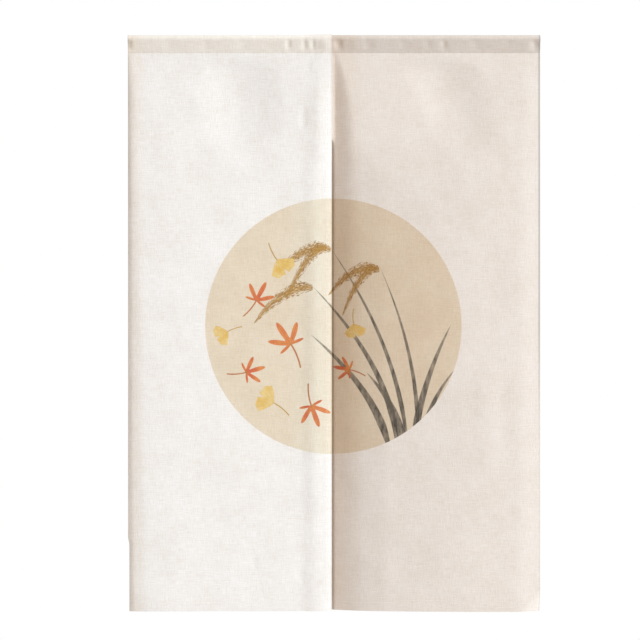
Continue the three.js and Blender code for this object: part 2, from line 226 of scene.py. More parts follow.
# A stroke swells from this share of its width at the start, and then thins out to its tip
START_SHARE = 0.3
START_SWELL = 3.0
TIP_FULLNESS = 0.6
STROKE_CRISPNESS = 220.0
LEAST_WIDTH = 0.001


def make_stroke():
    tree, given, out = new_group(
        "Brush stroke",
        [("Spot", "vector"), ("Start X", "value"), ("Start Y", "value"), ("Rise", "value"),
         ("Lean", "value"), ("Arch", "value"), ("Width", "value")],
        [("Cover", "value"), ("Along", "value"), ("Side", "value")],
    )
    x, y, _ = parts_of(tree, given["Spot"])
    run = calc(tree, "DIVIDE", calc(tree, "SUBTRACT", y, given["Start Y"]), given["Rise"])
    along = calc(tree, "ADD", run, 0.0, clamp=True)
    bend = calc(tree, "MULTIPLY_ADD", given["Arch"], along, given["Lean"])
    middle = calc(tree, "MULTIPLY_ADD", bend, along, given["Start X"])
    slope = calc(tree, "DIVIDE", calc(tree, "MULTIPLY_ADD", given["Arch"], along, bend), given["Rise"])
    slant = calc(tree, "SQRT", calc(tree, "MULTIPLY_ADD", slope, slope, 1.0))
    off = calc(tree, "DIVIDE", calc(tree, "SUBTRACT", x, middle), slant)
    taper = calc(tree, "POWER", calc(tree, "SUBTRACT", 1.0, along), TIP_FULLNESS)
    swell = calc(tree, "MULTIPLY_ADD", along, START_SWELL, START_SHARE)
    share = calc(tree, "MULTIPLY", taper, calc(tree, "MINIMUM", swell, 1.0))
    width = calc(tree, "MULTIPLY", share, given["Width"])
    spare = calc(tree, "SUBTRACT", width, calc(tree, "ABSOLUTE", off))
    filled = calc(tree, "MULTIPLY", spare, STROKE_CRISPNESS, clamp=True)
    inside = calc(tree, "MULTIPLY", calc(tree, "GREATER_THAN", run, 0.0), calc(tree, "LESS_THAN", run, 1.0))
    cover = calc(tree, "MULTIPLY", filled, inside)
    side = calc(tree, "DIVIDE", off, calc(tree, "MAXIMUM", width, LEAST_WIDTH))
    out(Cover=cover, Along=along, Side=side)
    return tree


stroke = make_stroke()


# Hairs of a seed head: their waves across and along it, how much thinner they lie at its sides,
# and the noise below which none shows
HAIRS_ACROSS = 2.6
HAIRS_ALONG = 9.0
HAIR_SCALE = 2.2
HAIR_THINNING = -0.32
HAIR_BARE = 0.19
HAIR_CRISPNESS = 5.0


def make_seed_head():
    tree, given, out = new_group(
        "Seed head",
        [("Spot", "vector"), ("Start X", "value"), ("Start Y", "value"), ("Reach", "value"),
         ("Lift", "value"), ("Droop", "value"), ("Width", "value")],
        [("Cover", "value"), ("Deep", "value")],
    )
    x, y, _ = parts_of(tree, given["Spot"])
    turned = vector_of(tree, y, x)
    mark = use(
        tree, stroke, Spot=turned, Start_X=given["Start Y"], Start_Y=given["Start X"],
        Rise=given["Reach"], Lean=given["Lift"], Arch=given["Droop"], Width=given["Width"],
    )
    hairs_at = stretched(tree, mark["Side"], mark["Along"], HAIRS_ACROSS, HAIRS_ALONG, given["Start X"])
    hairs = noise_at(tree, hairs_at, HAIR_SCALE, roughness=0.6)
    thin = calc(tree, "MULTIPLY_ADD", calc(tree, "ABSOLUTE", mark["Side"]), HAIR_THINNING, hairs)
    shown = calc(tree, "MULTIPLY", calc(tree, "SUBTRACT", thin, HAIR_BARE), HAIR_CRISPNESS, clamp=True)
    out(Cover=calc(tree, "MULTIPLY", shown, mark["Cover"]), Deep=hairs)
    return tree


seed_head = make_seed_head()


# A leaf's drawing, in leaf sizes: its edge, its stem and its veins
WASH_SCALE = 1.7
RAGGED = 0.10
MARGIN = 0.05
LEAF_CRISPNESS = 22.0
STEM_LENGTH = 0.95
STEM_HALF = 0.045
STEM_BEND = 0.22
STEM_CRISPNESS = 40.0
VEIN_CRISPNESS = 16.0
MAPLE = dict(lobes=7.2, point=1.5, cut=0.72, fall=-0.15, veins=3.6)
GINKGO = dict(
    half_angle=1.15, side_crispness=5.0, notch=0.14, notch_depth=2.6,
    waves=11.0, wave=0.035, radius=0.95, veins=9.0,
)


def make_leaf(name, outline, veins):
    """A leaf group. outline(tree, angle) is its edge, in leaf sizes from the middle, for each direction."""
    tree, given, out = new_group(
        name,
        [("Spot", "vector"), ("Middle X", "value"), ("Middle Y", "value"), ("Size", "value"),
         ("Turn", "value"), ("Seed", "value")],
        [("Cover", "value"), ("Vein", "value"), ("Wash", "value")],
    )
    middle = vector_of(tree, given["Middle X"], given["Middle Y"])
    off = put(tree, "VectorMath", [given["Spot"], middle], operation="SUBTRACT").outputs[0]
    turned = put(tree, "VectorRotate", {"Vector": off, "Angle": given["Turn"]}, rotation_type="Z_AXIS")
    x, y, _ = parts_of(tree, turned.outputs[0])
    x = calc(tree, "DIVIDE", x, given["Size"])
    y = calc(tree, "DIVIDE", y, given["Size"])
    far = calc(tree, "SQRT", calc(tree, "MULTIPLY_ADD", x, x, calc(tree, "MULTIPLY", y, y)))
    angle = calc(tree, "ARCTAN2", x, y)
    edge = outline(tree, angle)
    wash_at = vector_of(tree, x, y, given["Seed"])
    wash = noise_at(tree, wash_at, WASH_SCALE, detail=3.0, roughness=0.6)
    ragged = calc(tree, "MULTIPLY_ADD", wash, RAGGED, calc(tree, "SUBTRACT", edge, far))
    blade = calc(tree, "MULTIPLY", calc(tree, "SUBTRACT", ragged, MARGIN), LEAF_CRISPNESS, clamp=True)
    below = calc(tree, "LESS_THAN", y, 0.0)
    along_stem = calc(tree, "MULTIPLY", below, calc(tree, "GREATER_THAN", y, -STEM_LENGTH))
    bent = calc(tree, "MULTIPLY_ADD", calc(tree, "MULTIPLY", y, y), STEM_BEND, x)
    near_stem = calc(tree, "SUBTRACT", STEM_HALF, calc(tree, "ABSOLUTE", bent))
    stem = calc(tree, "MULTIPLY", calc(tree, "MULTIPLY", near_stem, STEM_CRISPNESS, clamp=True), along_stem)
    fanned = calc(tree, "SINE", calc(tree, "MULTIPLY", angle, veins))
    vein_line = calc(tree, "MULTIPLY", calc(tree, "ABSOLUTE", fanned), far)
    vein = calc(tree, "SUBTRACT", 1.0, calc(tree, "MULTIPLY", vein_line, VEIN_CRISPNESS), clamp=True)
    vein = calc(tree, "MAXIMUM", calc(tree, "MULTIPLY", vein, blade), stem)
    out(Cover=calc(tree, "MAXIMUM", blade, stem), Vein=vein, Wash=wash)
    return tree


def maple_outline(tree, angle):
    lobes = calc(tree, "COSINE", calc(tree, "MULTIPLY", angle, MAPLE["lobes"]))
    points = calc(tree, "POWER", calc(tree, "MULTIPLY_ADD", lobes, 0.5, 0.5), MAPLE["point"])
    shape = calc(tree, "MULTIPLY_ADD", points, MAPLE["cut"], 1 - MAPLE["cut"])
    fall = calc(tree, "MULTIPLY_ADD", calc(tree, "MULTIPLY", angle, angle), MAPLE["fall"], 1.0)
    return calc(tree, "MULTIPLY", shape, calc(tree, "MAXIMUM", fall, 0.0))


def ginkgo_outline(tree, angle):
    wide = calc(tree, "ABSOLUTE", angle)
    spare = calc(tree, "SUBTRACT", GINKGO["half_angle"], wide)
    fan = calc(tree, "MULTIPLY", spare, GINKGO["side_crispness"], clamp=True)
    notch = calc(tree, "MULTIPLY", calc(tree, "SUBTRACT", GINKGO["notch"], wide), GINKGO["notch_depth"])
    waves = calc(tree, "COSINE", calc(tree, "MULTIPLY", angle, GINKGO["waves"]))
    rim = calc(tree, "MULTIPLY_ADD", waves, GINKGO["wave"], GINKGO["radius"])
    return calc(tree, "MULTIPLY", calc(tree, "SUBTRACT", rim, calc(tree, "MAXIMUM", notch, 0.0)), fan)


maple_leaf = make_leaf("Maple leaf", maple_outline, MAPLE["veins"])
ginkgo_leaf = make_leaf("Ginkgo leaf", ginkgo_outline, GINKGO["veins"])

# The disc's dye: a crisp edge, cloudy depth, and a paler upright band to the left of the slit,
# which is painted light
DISC_CRISPNESS = 260.0
MOTTLE_SCALE = 2.4
DYE_DEPTH = 0.34
PAINTED_LIGHT_BAND = dict(at=-0.13, half=0.24, lightened=-0.75)
# The grass is brushed nearly dry: streaks across and up, and how much ink they leave
DRY_BRUSH = dict(across=9.0, up=2.5, scale=3.0, roughness=0.65, contrast=1.2, least=0.22)
# A factor and an offset, which turn the noise into a mix of two colours
HEAD_MIX = (3.0, -1.1)
WASH_MIX = (3.2, -1.1)
HEAD_COVER = 0.92
LEAF_COVER = 0.93
VEIN_COVER = 0.55


def make_print():
    tree, given, out = new_group(
        "Printed round",
        [("Flat", "vector")],
        [("Dye", "colour"), ("Cover", "value")],
    )
    x, z, _ = parts_of(tree, given["Flat"])
    across = calc(tree, "DIVIDE", calc(tree, "SUBTRACT", x, ROUND_ACROSS), ROUND_RADIUS)
    up = calc(tree, "DIVIDE", calc(tree, "SUBTRACT", z, ROUND_MIDDLE), ROUND_RADIUS)
    spot = vector_of(tree, across, up)
    far = calc(tree, "SQRT", calc(tree, "MULTIPLY_ADD", across, across, calc(tree, "MULTIPLY", up, up)))
    mottle = noise_at(tree, spot, MOTTLE_SCALE, detail=4.0, roughness=0.6)
    cover = calc(tree, "MULTIPLY", calc(tree, "SUBTRACT", 1.0, far), DISC_CRISPNESS, clamp=True)
    # Painted light: the ground is paler in an upright band left of the slit
    off_light_band = calc(tree, "ABSOLUTE", calc(tree, "SUBTRACT", across, PAINTED_LIGHT_BAND["at"]))
    pale = calc(tree, "SUBTRACT", 1.0, calc(tree, "DIVIDE", off_light_band, PAINTED_LIGHT_BAND["half"]), clamp=True)
    deep = calc(tree, "ADD", mottle, DYE_DEPTH)
    mottle_and_light = calc(tree, "MULTIPLY_ADD", pale, PAINTED_LIGHT_BAND["lightened"], deep, clamp=True)
    dye = blended(tree, mottle_and_light, GROUND_PALE, GROUND_DEEP)
    streaks = stretched(tree, across, up, DRY_BRUSH["across"], DRY_BRUSH["up"])
    brush = noise_at(tree, streaks, DRY_BRUSH["scale"], detail=3.0, roughness=DRY_BRUSH["roughness"])
    load = calc(tree, "MULTIPLY_ADD", brush, DRY_BRUSH["contrast"], DRY_BRUSH["least"], clamp=True)
    for start_x, start_y, rise, lean, arch, width in GRASS:
        blade = use(
            tree, stroke, Spot=spot, Start_X=start_x, Start_Y=start_y,
            Rise=rise, Lean=lean, Arch=arch, Width=width,
        )
        ink = blended(tree, blade["Along"], INK, INK_PALE)
        dye = blended(tree, calc(tree, "MULTIPLY", blade["Cover"], load), dye, ink)
    for start_x, start_y, reach, lift, droop, width in SEED_HEADS:
        head = use(
            tree, seed_head, Spot=spot, Start_X=start_x, Start_Y=start_y,
            Reach=reach, Lift=lift, Droop=droop, Width=width,
        )
        mixed = calc(tree, "MULTIPLY_ADD", head["Deep"], *HEAD_MIX, clamp=True)
        ochre = blended(tree, mixed, OCHRE, OCHRE_DEEP)
        dye = blended(tree, calc(tree, "MULTIPLY", head["Cover"], HEAD_COVER), dye, ochre)
    kinds = (
        (maple_leaf, MAPLE_LEAVES, RED, ORANGE),
        (ginkgo_leaf, GINKGO_LEAVES, YELLOW, YELLOW_PALE),
    )
    for group, leaves, first, second in kinds:
        for middle_x, middle_y, size, turn, seed in leaves:
            leaf = use(
                tree, group, Spot=spot, Middle_X=middle_x, Middle_Y=middle_y,
                Size=size, Turn=radians(turn), Seed=float(seed),
            )
            mixed = calc(tree, "MULTIPLY_ADD", leaf["Wash"], *WASH_MIX, clamp=True)
            wash = blended(tree, mixed, first, second)
            veined = blended(tree, calc(tree, "MULTIPLY", leaf["Vein"], VEIN_COVER), wash, OCHRE_DEEP)
            dye = blended(tree, calc(tree, "MULTIPLY", leaf["Cover"], LEAF_COVER), dye, veined)
    out(Dye=dye, Cover=cover)
    return tree


printed_round = make_print()


# LEFT PANEL. One length of linen, hemmed at both sides and at the foot. Its top goes over to the
# back and is sewn down as the rod sleeve. It hangs in a soft bow: the outer edge curls back, and a
# long fold runs down beside the slit, where the hem turns away. Tables are in millimetres.

MM = 0.001
CLOTH = 0.7
HEM_LAYER = 0.6
SIDE_HEM = 12.0
FOOT = -1185.5
FOOT_HEM = 20.0
SLEEVE_MIDDLE = 5.0
SLEEVE_RADIUS = 8.5
SEWN_AT = -24.0
TURNED_EDGE = -28.0
FRONT_PLANE = -0.6
BACK_PLANE = 0.35
TURNED_IN = 9.0
STITCH_INSET = 2.0
SLIT_TOP = -200.0

# As far down as the seam goes, the left panel's slit edge is lifted over the right one's
LAP_LIFT = CLOTH + HEM_LAYER + 0.3
LAP_REACH = 56.0
LAP_FLAT = 10.0
LAP_END = SLIT_TOP - 10
LAP_FADE = 60.0

LEFT_EDGE = -424.0
LEFT_EDGE_LOW = -421.4
LEFT_STEP = dict(top=-1032.0, fade=14.0)
# One row for each height. A pair is a place across and its depth behind the sleeve's plane: the
# turn of the outer hem, where its curl starts, the middle, the fold beside the slit and its hem.
LEFT_FALL = [
    dict(
        z=SEWN_AT, edge=0.6, turn=(-418, 0), curl=(-412, 0), middle=(-215, 0),
        foot=(-70, 0), crest=(-32, 0), hem=(-13, 0), slit=0.2,
    ),
    dict(
        z=-110, edge=2.8, turn=(-417, 0.8), curl=(-408, 0.1), middle=(-215, 3),
        foot=(-76, 1.5), crest=(-32, 0.8), hem=(-13, 2.6), slit=4.6,
    ),
    dict(
        z=-200, edge=3.6, turn=(-416, 1.2), curl=(-403, 0.3), middle=(-215, 4.2),
        foot=(-72, 4.1), crest=(-35, 3.4), hem=(-13, 5.9), slit=8.2,
    ),
    dict(
        z=-206, edge=3.7, turn=(-416, 1.2), curl=(-403, 0.3), middle=(-215, 4.2),
        foot=(-72, 4.2), crest=(-35, 3.5), hem=(-13, 6), slit=8.3,
    ),
    dict(
        z=-330, edge=4.6, turn=(-415, 1.7), curl=(-399, 0.5), middle=(-230, 3.8),
        foot=(-68, 5.8), crest=(-37, 4.7), hem=(-13, 6.2), slit=8.4,
    ),
    dict(
        z=-620, edge=5.2, turn=(-414, 2.2), curl=(-394, 0.6), middle=(-225, 3.8),
        foot=(-65, 6.8), crest=(-34, 5.1), hem=(-13, 6.4), slit=8.5,
    ),
    dict(
        z=-900, edge=5.6, turn=(-414, 2.6), curl=(-390, 0.8), middle=(-235, 4.2),
        foot=(-66, 6.9), crest=(-36, 5.2), hem=(-13, 6.5), slit=8.6,
    ),
    dict(
        z=-1030, edge=6, turn=(-412, 2.9), curl=(-384, 0.9), middle=(-230, 4.4),
        foot=(-64, 6.7), crest=(-36, 5.1), hem=(-13, 6.5), slit=8.5,
    ),
    dict(
        z=FOOT, edge=6.6, turn=(-411, 3.3), curl=(-380, 1), middle=(-230, 4.8),
        foot=(-66, 6.7), crest=(-35, 5.2), hem=(-13, 6.5), slit=8.4,
    ),
]
# Soft troughs (above 0) and ridges (below 0) along short lines: from, to, half width, depth
LEFT_CREASES = [
    ((-196, -30), (-186, -190), 96, 4.2),
    ((-58, -134), (-60, -182), 13, 0.9),
    ((-164, -1074), (-162, -1084), 15, 0.6),
    ((-66, -1104), (-65, -1116), 14, 0.6),
    ((-40, -32), (-39, -58), 8, -0.5),
]
# Dents (above 0) and puffs (below 0) of the sleeve's front: place, half width, depth
LEFT_DENTS = [
    (-424, 12, 2.5), (-340, 14, 0.5), (-262, 12, 0.6), (-186, 16, 0.5), (-90, 8, 1.5),
    (-57, 8, 1.5), (-39, 7, 1.3), (-14, 15, -1.1),
]
# A hem's extra layer ends within one narrow step of the grid, and this is half of it
HEM_STEP = 0.4
# Lines of the grid, as spans: each one's end and the step within it
LEFT_COLUMNS = [
    (LEFT_EDGE + SIDE_HEM - HEM_STEP, 3.2), (LEFT_EDGE + SIDE_HEM + HEM_STEP, 2 * HEM_STEP),
    (-120, 4.2), (-SIDE_HEM - HEM_STEP, 3.0), (-SIDE_HEM + HEM_STEP, 2 * HEM_STEP), (0, 2.9),
]
PANEL_ROWS = [
    (-60, 3.0), (-190, 4.0), (-230, 2.5), (-300, 4.0), (-900, 5.0),
    (FOOT + FOOT_HEM + HEM_STEP, 4.4), (FOOT + FOOT_HEM - HEM_STEP, 2 * HEM_STEP), (FOOT, 4.0),
]
SLEEVE_STEP = 2.0
ARC_POINTS = 30

# The dents fade in below the sleeve's round top and out again at its stitch line
DENT_TOP = SLEEVE_MIDDLE + 3
DENT_FADE_TOP = 12.0
DENT_FADE_FOOT = 18.0
CREASE_FADE = 40.0
# The stitch line puckers the cloth, less and less upwards and downwards from it
PUCKER = dict(depth=0.22, wave=6.0, up=7.0, down=9.0, seed=3.0)
SLEEVE_WAVE = dict(depth=0.25, wave=34.0, fade=9.0, seed=8.0)
# Soft unevenness of the hanging cloth: depth, wave and seed, faded in below the stitch line
UNEVEN = [(0.55, 75.0, 1.0), (0.2, 26.0, 2.0)]
UNEVEN_FADE = 70.0


def smooth(t):
    t = np.clip(t, 0, 1)
    return t * t * (3 - 2 * t)


def bump(s):
    return np.maximum(0, 1 - np.minimum(1, np.abs(s)) ** 2) ** 2


def spaced(start, spans):
    """Places from start to the end of each span, evenly spaced within it."""
    places = [start]
    for to, step in spans:
        count = max(1, round(abs(to - places[-1]) / step))
        places.extend(np.linspace(places[-1], to, count + 1)[1:])
    return np.array(places, float)


def through(xs, ys, x):
    """A smooth line through the points (xs, ys) that never overshoots them, read at x."""
    xs, ys = np.asarray(xs, float), np.asarray(ys, float)
    width = np.diff(xs)
    rise = np.diff(ys) / width
    total = rise[:-1] + rise[1:]
    both = rise[:-1] * rise[1:]
    inner = np.where(both > 0, 2 * both / np.where(total == 0, 1, total), 0)
    slope = np.concatenate(([rise[0]], inner, [rise[-1]]))
    i = np.clip(np.searchsorted(xs, x, side="right") - 1, 0, len(xs) - 2)
    t = (x - xs[i]) / width[i]
    u = 1 - t
    ends = u * u * (1 + 2 * t) * ys[i] + t * t * (1 + 2 * u) * ys[i + 1]
    return ends + width[i] * t * u * (u * slope[i] - t * slope[i + 1])


def at_height(fall, z, read):
    return through([-row["z"] for row in fall], [read(row) for row in fall], -z)


def creased(creases, x, z):
    """Depth that the creases add at the places x on the height z. The stitch line holds them flat."""
    depth = np.zeros_like(x)
    for (from_x, from_z), (to_x, to_z), half, most in creases:
        length = hypot(to_x - from_x, to_z - from_z)
        dx, dz = (to_x - from_x) / length, (to_z - from_z) / length
        off_x, off_z = x - (from_x + to_x) / 2, z - (from_z + to_z) / 2
        along = (off_x * dx + off_z * dz) / (length / 2 + half)
        across = (off_x * dz - off_z * dx) / half
        depth += most * bump(np.hypot(along, across))
    return depth * smooth((SEWN_AT - z) / CREASE_FADE)


def ripple(x, z, size, seed):
    """Even-handed unevenness from -1 to 1, with waves of about the size given, in millimetres."""
    return np.array([noise.noise(Vector((a / size, z / size, seed))) for a in x])


def sleeve_line():
    """The sleeve's middle line as (y, z) points, up the back from the turned edge and down the front."""
    radius = SLEEVE_RADIUS - CLOTH / 2
    drop = SEWN_AT - SLEEVE_MIDDLE
    line = [(BACK_PLANE, TURNED_EDGE), (BACK_PLANE, SEWN_AT)]
    back = atan2(drop, BACK_PLANE) + acos(radius / hypot(BACK_PLANE, drop))
    front = atan2(drop, FRONT_PLANE) - acos(radius / hypot(FRONT_PLANE, drop)) + 2 * pi
    for angle in np.linspace(back, front, ARC_POINTS):
        line.append((radius * cos(angle), SLEEVE_MIDDLE + radius * sin(angle)))
    line.append((FRONT_PLANE, SEWN_AT))
    return np.array(line)


def puckered(x, z, fade):
    return PUCKER["depth"] * np.exp(-abs(z - SEWN_AT) / fade) * ripple(x, 0, PUCKER["wave"], PUCKER["seed"])


def sleeve_row(x, y, z, dents):
    """Depths across the sleeve at the point (y, z) of its section. Only its front is dented."""
    wavy = ripple(x, z, SLEEVE_WAVE["wave"], SLEEVE_WAVE["seed"])
    lean = SLEEVE_WAVE["depth"] * wavy * smooth((z - SEWN_AT) / SLEEVE_WAVE["fade"])
    dented = np.zeros_like(x)
    if y < 0:
        shown = smooth((DENT_TOP - z) / DENT_FADE_TOP) * smooth((z - SEWN_AT) / DENT_FADE_FOOT)
        dented = sum(most * bump((x - place) / half) for place, half, most in dents) * shown
    return y + dented + puckered(x, z, PUCKER["up"]) + lean


def panel_row(x, z, depth):
    """Depths across the hanging panel at the height z."""
    wavy = sum(deep * ripple(x, z, wave, seed) for deep, wave, seed in UNEVEN)
    uneven = smooth((SEWN_AT - z) / UNEVEN_FADE) * wavy
    return FRONT_PLANE + depth(x, z) + puckered(x, z, PUCKER["down"]) + uneven


def cloth_grid(columns, narrowed, depth, dents, lapped):
    """The cloth's middle surface, row by row from the sleeve's turned edge to the foot.

    Returns the points and the flat cloth's coordinates, both in millimetres.
    """
    line = sleeve_line()
    run = np.concatenate(([0], np.cumsum(np.hypot(*np.diff(line, axis=0).T))))
    steps = np.linspace(0, run[-1], int(run[-1] / SLEEVE_STEP) + 1)[:-1]
    points, flat = [], []
    for s in steps:
        y, z = np.interp(s, run, line[:, 0]), np.interp(s, run, line[:, 1])
        x = narrowed(columns, z)
        points.append(np.stack([x, sleeve_row(x, y, z, dents), np.full_like(x, z)], -1))
        flat.append(np.stack([columns, np.full_like(columns, SEWN_AT + run[-1] - s)], -1))
    for z in spaced(SEWN_AT, PANEL_ROWS):
        x = narrowed(columns, z)
        points.append(np.stack([x, panel_row(x, z, depth), np.full_like(x, z)], -1))
        flat.append(np.stack([columns, np.full_like(columns, z)], -1))
    points, flat = np.array(points), np.array(flat)
    lift = np.array([lapped(columns, z) for z in flat[:, 0, 1]])
    return points + outward(points) * lift[..., None], flat


def outward(points):
    """Unit vectors square to the grid, on the cloth's right side."""
    normal = -np.cross(np.gradient(points, axis=1), np.gradient(points, axis=0))
    return normal / np.linalg.norm(normal, axis=-1, keepdims=True)


def hem_layer(flat, left, right):
    """Thickness of the turned layer behind each point: on the hems and at the sleeve's turned edge."""
    x, z = flat[..., 0], flat[..., 1]
    side = np.maximum(x < left + SIDE_HEM, x > right - SIDE_HEM)
    foot = z < FOOT + FOOT_HEM
    top = z > flat[0, 0, 1] - TURNED_IN
    return HEM_LAYER * np.maximum(np.maximum(side, foot), top)


# The cloth is shaded smooth, but for its cut edges: edges with a turn of more than this, in degrees
SHARP_FROM = 40


def sheet_mesh(name, points, flat, behind):
    """A closed thin sheet on the grid, with the flat cloth's place kept on each point."""
    rows, columns = points.shape[:2]
    size = rows * columns
    normal = outward(points)
    front = points + normal * CLOTH / 2
    back = points - normal * (CLOTH / 2 + behind[..., None])
    number = np.arange(size).reshape(rows, columns)
    a, b, c, d = number[:-1, :-1], number[:-1, 1:], number[1:, 1:], number[1:, :-1]
    right_side = np.stack([a, d, c, b], -1).reshape(-1, 4)
    wrong_side = np.stack([a, b, c, d], -1).reshape(-1, 4) + size
    rim = np.concatenate([number[0, :-1], number[:-1, -1], number[-1, :0:-1], number[:0:-1, 0]])
    after = np.roll(rim, -1)
    edge = np.stack([rim, after, after + size, rim + size], -1)
    mesh = bpy.data.meshes.new(name)
    corners = np.concatenate([front.reshape(-1, 3), back.reshape(-1, 3)]) * MM
    faces = np.concatenate([right_side, wrong_side, edge])
    mesh.from_pydata(corners.tolist(), [], faces.tolist())
    side = np.repeat([0.0, 1.0], size)[:, None]
    place = np.concatenate([np.tile(flat.reshape(-1, 2) * MM, (2, 1)), side], 1)
    attribute = mesh.attributes.new("flat", "FLOAT_VECTOR", "POINT")
    attribute.data.foreach_set("vector", place.astype(np.float32).ravel())
    mesh.shade_smooth()
    mesh.set_sharp_from_angle(angle=radians(SHARP_FROM))
    made = bpy.data.objects.new(name, mesh)
    bpy.context.collection.objects.link(made)
    return made, front, back


# The yarns' own darker and lighter tones, as shares of the tint
DARK_YARN = (0.925, 0.89, 0.84)
PALE_YARN = 1.04
PALEST = 0.97
LINEN_SHEEN = 0.12
LINEN_SHEEN_ROUGHNESS = 0.6
LINEN_SPECULAR = 0.25
LINEN_ROUGHNESS = 0.82
ROUGHER_YARN = 0.12
# Painted shade: a grey line along every side edge, and a darker band in the right edge's outer fold:
# how far in, in metres, how strongly, and the factor and the offset by which the band fades out downwards
PAINTED_EDGE_SHADE = (0.36, 0.33, 0.30, 1)
EDGE_SHADE_WIDTH = 0.003
EDGE_SHADE_STRENGTH = 0.30
FOLD_SHADE_WIDTH = 0.0055
FOLD_SHADE_FADE = 0.004
FOLD_SHADE_BY_HEIGHT = (4.0, 3.4)
# The painted warm shade falls off inwards by this power of what is left of its width
PAINTED_SHADE_FALL = 0.6
# How much less of the print the wrong side shows
SOAK_LOSS = -0.55
# Each sewn line lies in a shallow groove. Those of the hems are fainter than the sleeve's.
GROOVE_HALF = 0.0016
GROOVE_DEPTH = 0.00020
SIDE_FAINT = 0.0008
FOOT_FAINT = 0.0010


def linen_material(name, tint, left, right, sleeve_painted_shade, painted_warm_shade, painted_shade_width, right_fold_shade=0.0):
    """The linen with its own tint, sewn hems and the printed round. left and right are the panel's edges.

    The sleeve's two layers are darkened with painted shade, as they let less light through than one.
    The left side is tinted over the given width with warm painted shade. The last argument paints shade
    on the upper part of the right edge's fold.
    """
    material = bpy.data.materials.new(name)
    material.use_nodes = True
    tree = material.node_tree
    shader = tree.nodes["Principled BSDF"]
    flat = put(tree, "Attribute", attribute_name="flat").outputs["Vector"]
    x, z, wrong = parts_of(tree, flat)
    weave = use(tree, linen, Flat=flat)
    dye = use(tree, printed_round, Flat=flat)
    dark = tuple(channel * share for channel, share in zip(tint, DARK_YARN)) + (1,)
    pale = tuple(min(PALEST, channel * PALE_YARN) for channel in tint) + (1,)
    cloth = blended(tree, weave["Tone"], dark, pale)
    from_left = calc(tree, "SUBTRACT", x, left * MM)
    from_right = calc(tree, "SUBTRACT", right * MM, x)
    to_side = calc(tree, "MINIMUM", from_left, from_right)

    # The sleeve is darkened with painted shade
    sleeve = calc(tree, "GREATER_THAN", z, SEWN_AT * MM)
    cloth = blended(tree, sleeve, cloth, blended(tree, 1.0, cloth, sleeve_painted_shade + (1,), "MULTIPLY"))
    # Warm painted shade, strongest at the panel's left edge and fading inwards
    shade_painted = calc(tree, "SUBTRACT", 1.0, calc(tree, "DIVIDE", from_left, painted_shade_width), clamp=True)
    shade_painted = calc(tree, "POWER", shade_painted, PAINTED_SHADE_FALL)
    cloth = blended(tree, shade_painted, cloth, blended(tree, 1.0, cloth, painted_warm_shade + (1,), "MULTIPLY"))

    # Painted shade: a grey line along every side edge, and along the right edge's fold, darker upwards
    edge_shade = calc(tree, "SUBTRACT", 1.0, calc(tree, "DIVIDE", to_side, EDGE_SHADE_WIDTH), clamp=True)
    high = calc(tree, "MULTIPLY_ADD", z, *FOLD_SHADE_BY_HEIGHT, clamp=True)
    into_fold = calc(tree, "SUBTRACT", FOLD_SHADE_WIDTH, from_right)
    by_edge = calc(tree, "DIVIDE", into_fold, FOLD_SHADE_FADE, clamp=True)
    fold_shade = calc(tree, "MULTIPLY", by_edge, calc(tree, "MULTIPLY", high, right_fold_shade))
    painted_edge_shades = calc(tree, "MAXIMUM", calc(tree, "MULTIPLY", edge_shade, EDGE_SHADE_STRENGTH), fold_shade)
    cloth = blended(tree, painted_edge_shades, cloth, PAINTED_EDGE_SHADE)

    soak = calc(tree, "MULTIPLY", dye["Cover"], calc(tree, "MULTIPLY_ADD", wrong, SOAK_LOSS, 1.0))
    printed = blended(tree, 1.0, cloth, dye["Dye"], "MULTIPLY")
    feed(tree, shader.inputs["Base Color"], blended(tree, soak, cloth, printed))

    side_line = calc(tree, "ABSOLUTE", calc(tree, "SUBTRACT", to_side, (SIDE_HEM - STITCH_INSET) * MM))
    foot_seam = (FOOT + FOOT_HEM - STITCH_INSET) * MM
    foot_line = calc(tree, "ABSOLUTE", calc(tree, "SUBTRACT", z, foot_seam))
    top_line = calc(tree, "ABSOLUTE", calc(tree, "SUBTRACT", z, SEWN_AT * MM))
    side_line = calc(tree, "ADD", side_line, SIDE_FAINT)
    foot_line = calc(tree, "ADD", foot_line, FOOT_FAINT)
    nearest = calc(tree, "MINIMUM", calc(tree, "MINIMUM", side_line, foot_line), top_line)
    groove = calc(tree, "SUBTRACT", 1.0, calc(tree, "DIVIDE", nearest, GROOVE_HALF), clamp=True)
    height = calc(tree, "MULTIPLY_ADD", groove, -GROOVE_DEPTH, weave["Height"])
    raised = put(tree, "Bump", {"Strength": 1.0, "Distance": 1.0, "Height": height})
    feed(tree, shader.inputs["Normal"], raised.outputs[0])
    rough = calc(tree, "MULTIPLY_ADD", weave["Tone"], ROUGHER_YARN, LINEN_ROUGHNESS)
    feed(tree, shader.inputs["Roughness"], rough)
    shader.inputs["Sheen Weight"].default_value = LINEN_SHEEN
    shader.inputs["Sheen Roughness"].default_value = LINEN_SHEEN_ROUGHNESS
    shader.inputs["Specular IOR Level"].default_value = LINEN_SPECULAR
    return material


def fallen(fall, z, places, ends):
    """Places and depths of one section: the table's named pairs, between the depths at its two ends."""
    xs = [at_height(fall, z, lambda row: row[place][0]) for place in places]
    ys = [at_height(fall, z, lambda row: row[place][1]) for place in places]
    first, last = [at_height(fall, z, lambda row: row[end]) for end in ends]
    return xs, [first, *ys, last]


def left_edge_at(z):
    low = smooth((LEFT_STEP["top"] - z) / LEFT_STEP["fade"])
    return LEFT_EDGE + (LEFT_EDGE_LOW - LEFT_EDGE) * low


def left_narrowed(columns, z):
    return columns * (left_edge_at(z) / LEFT_EDGE)


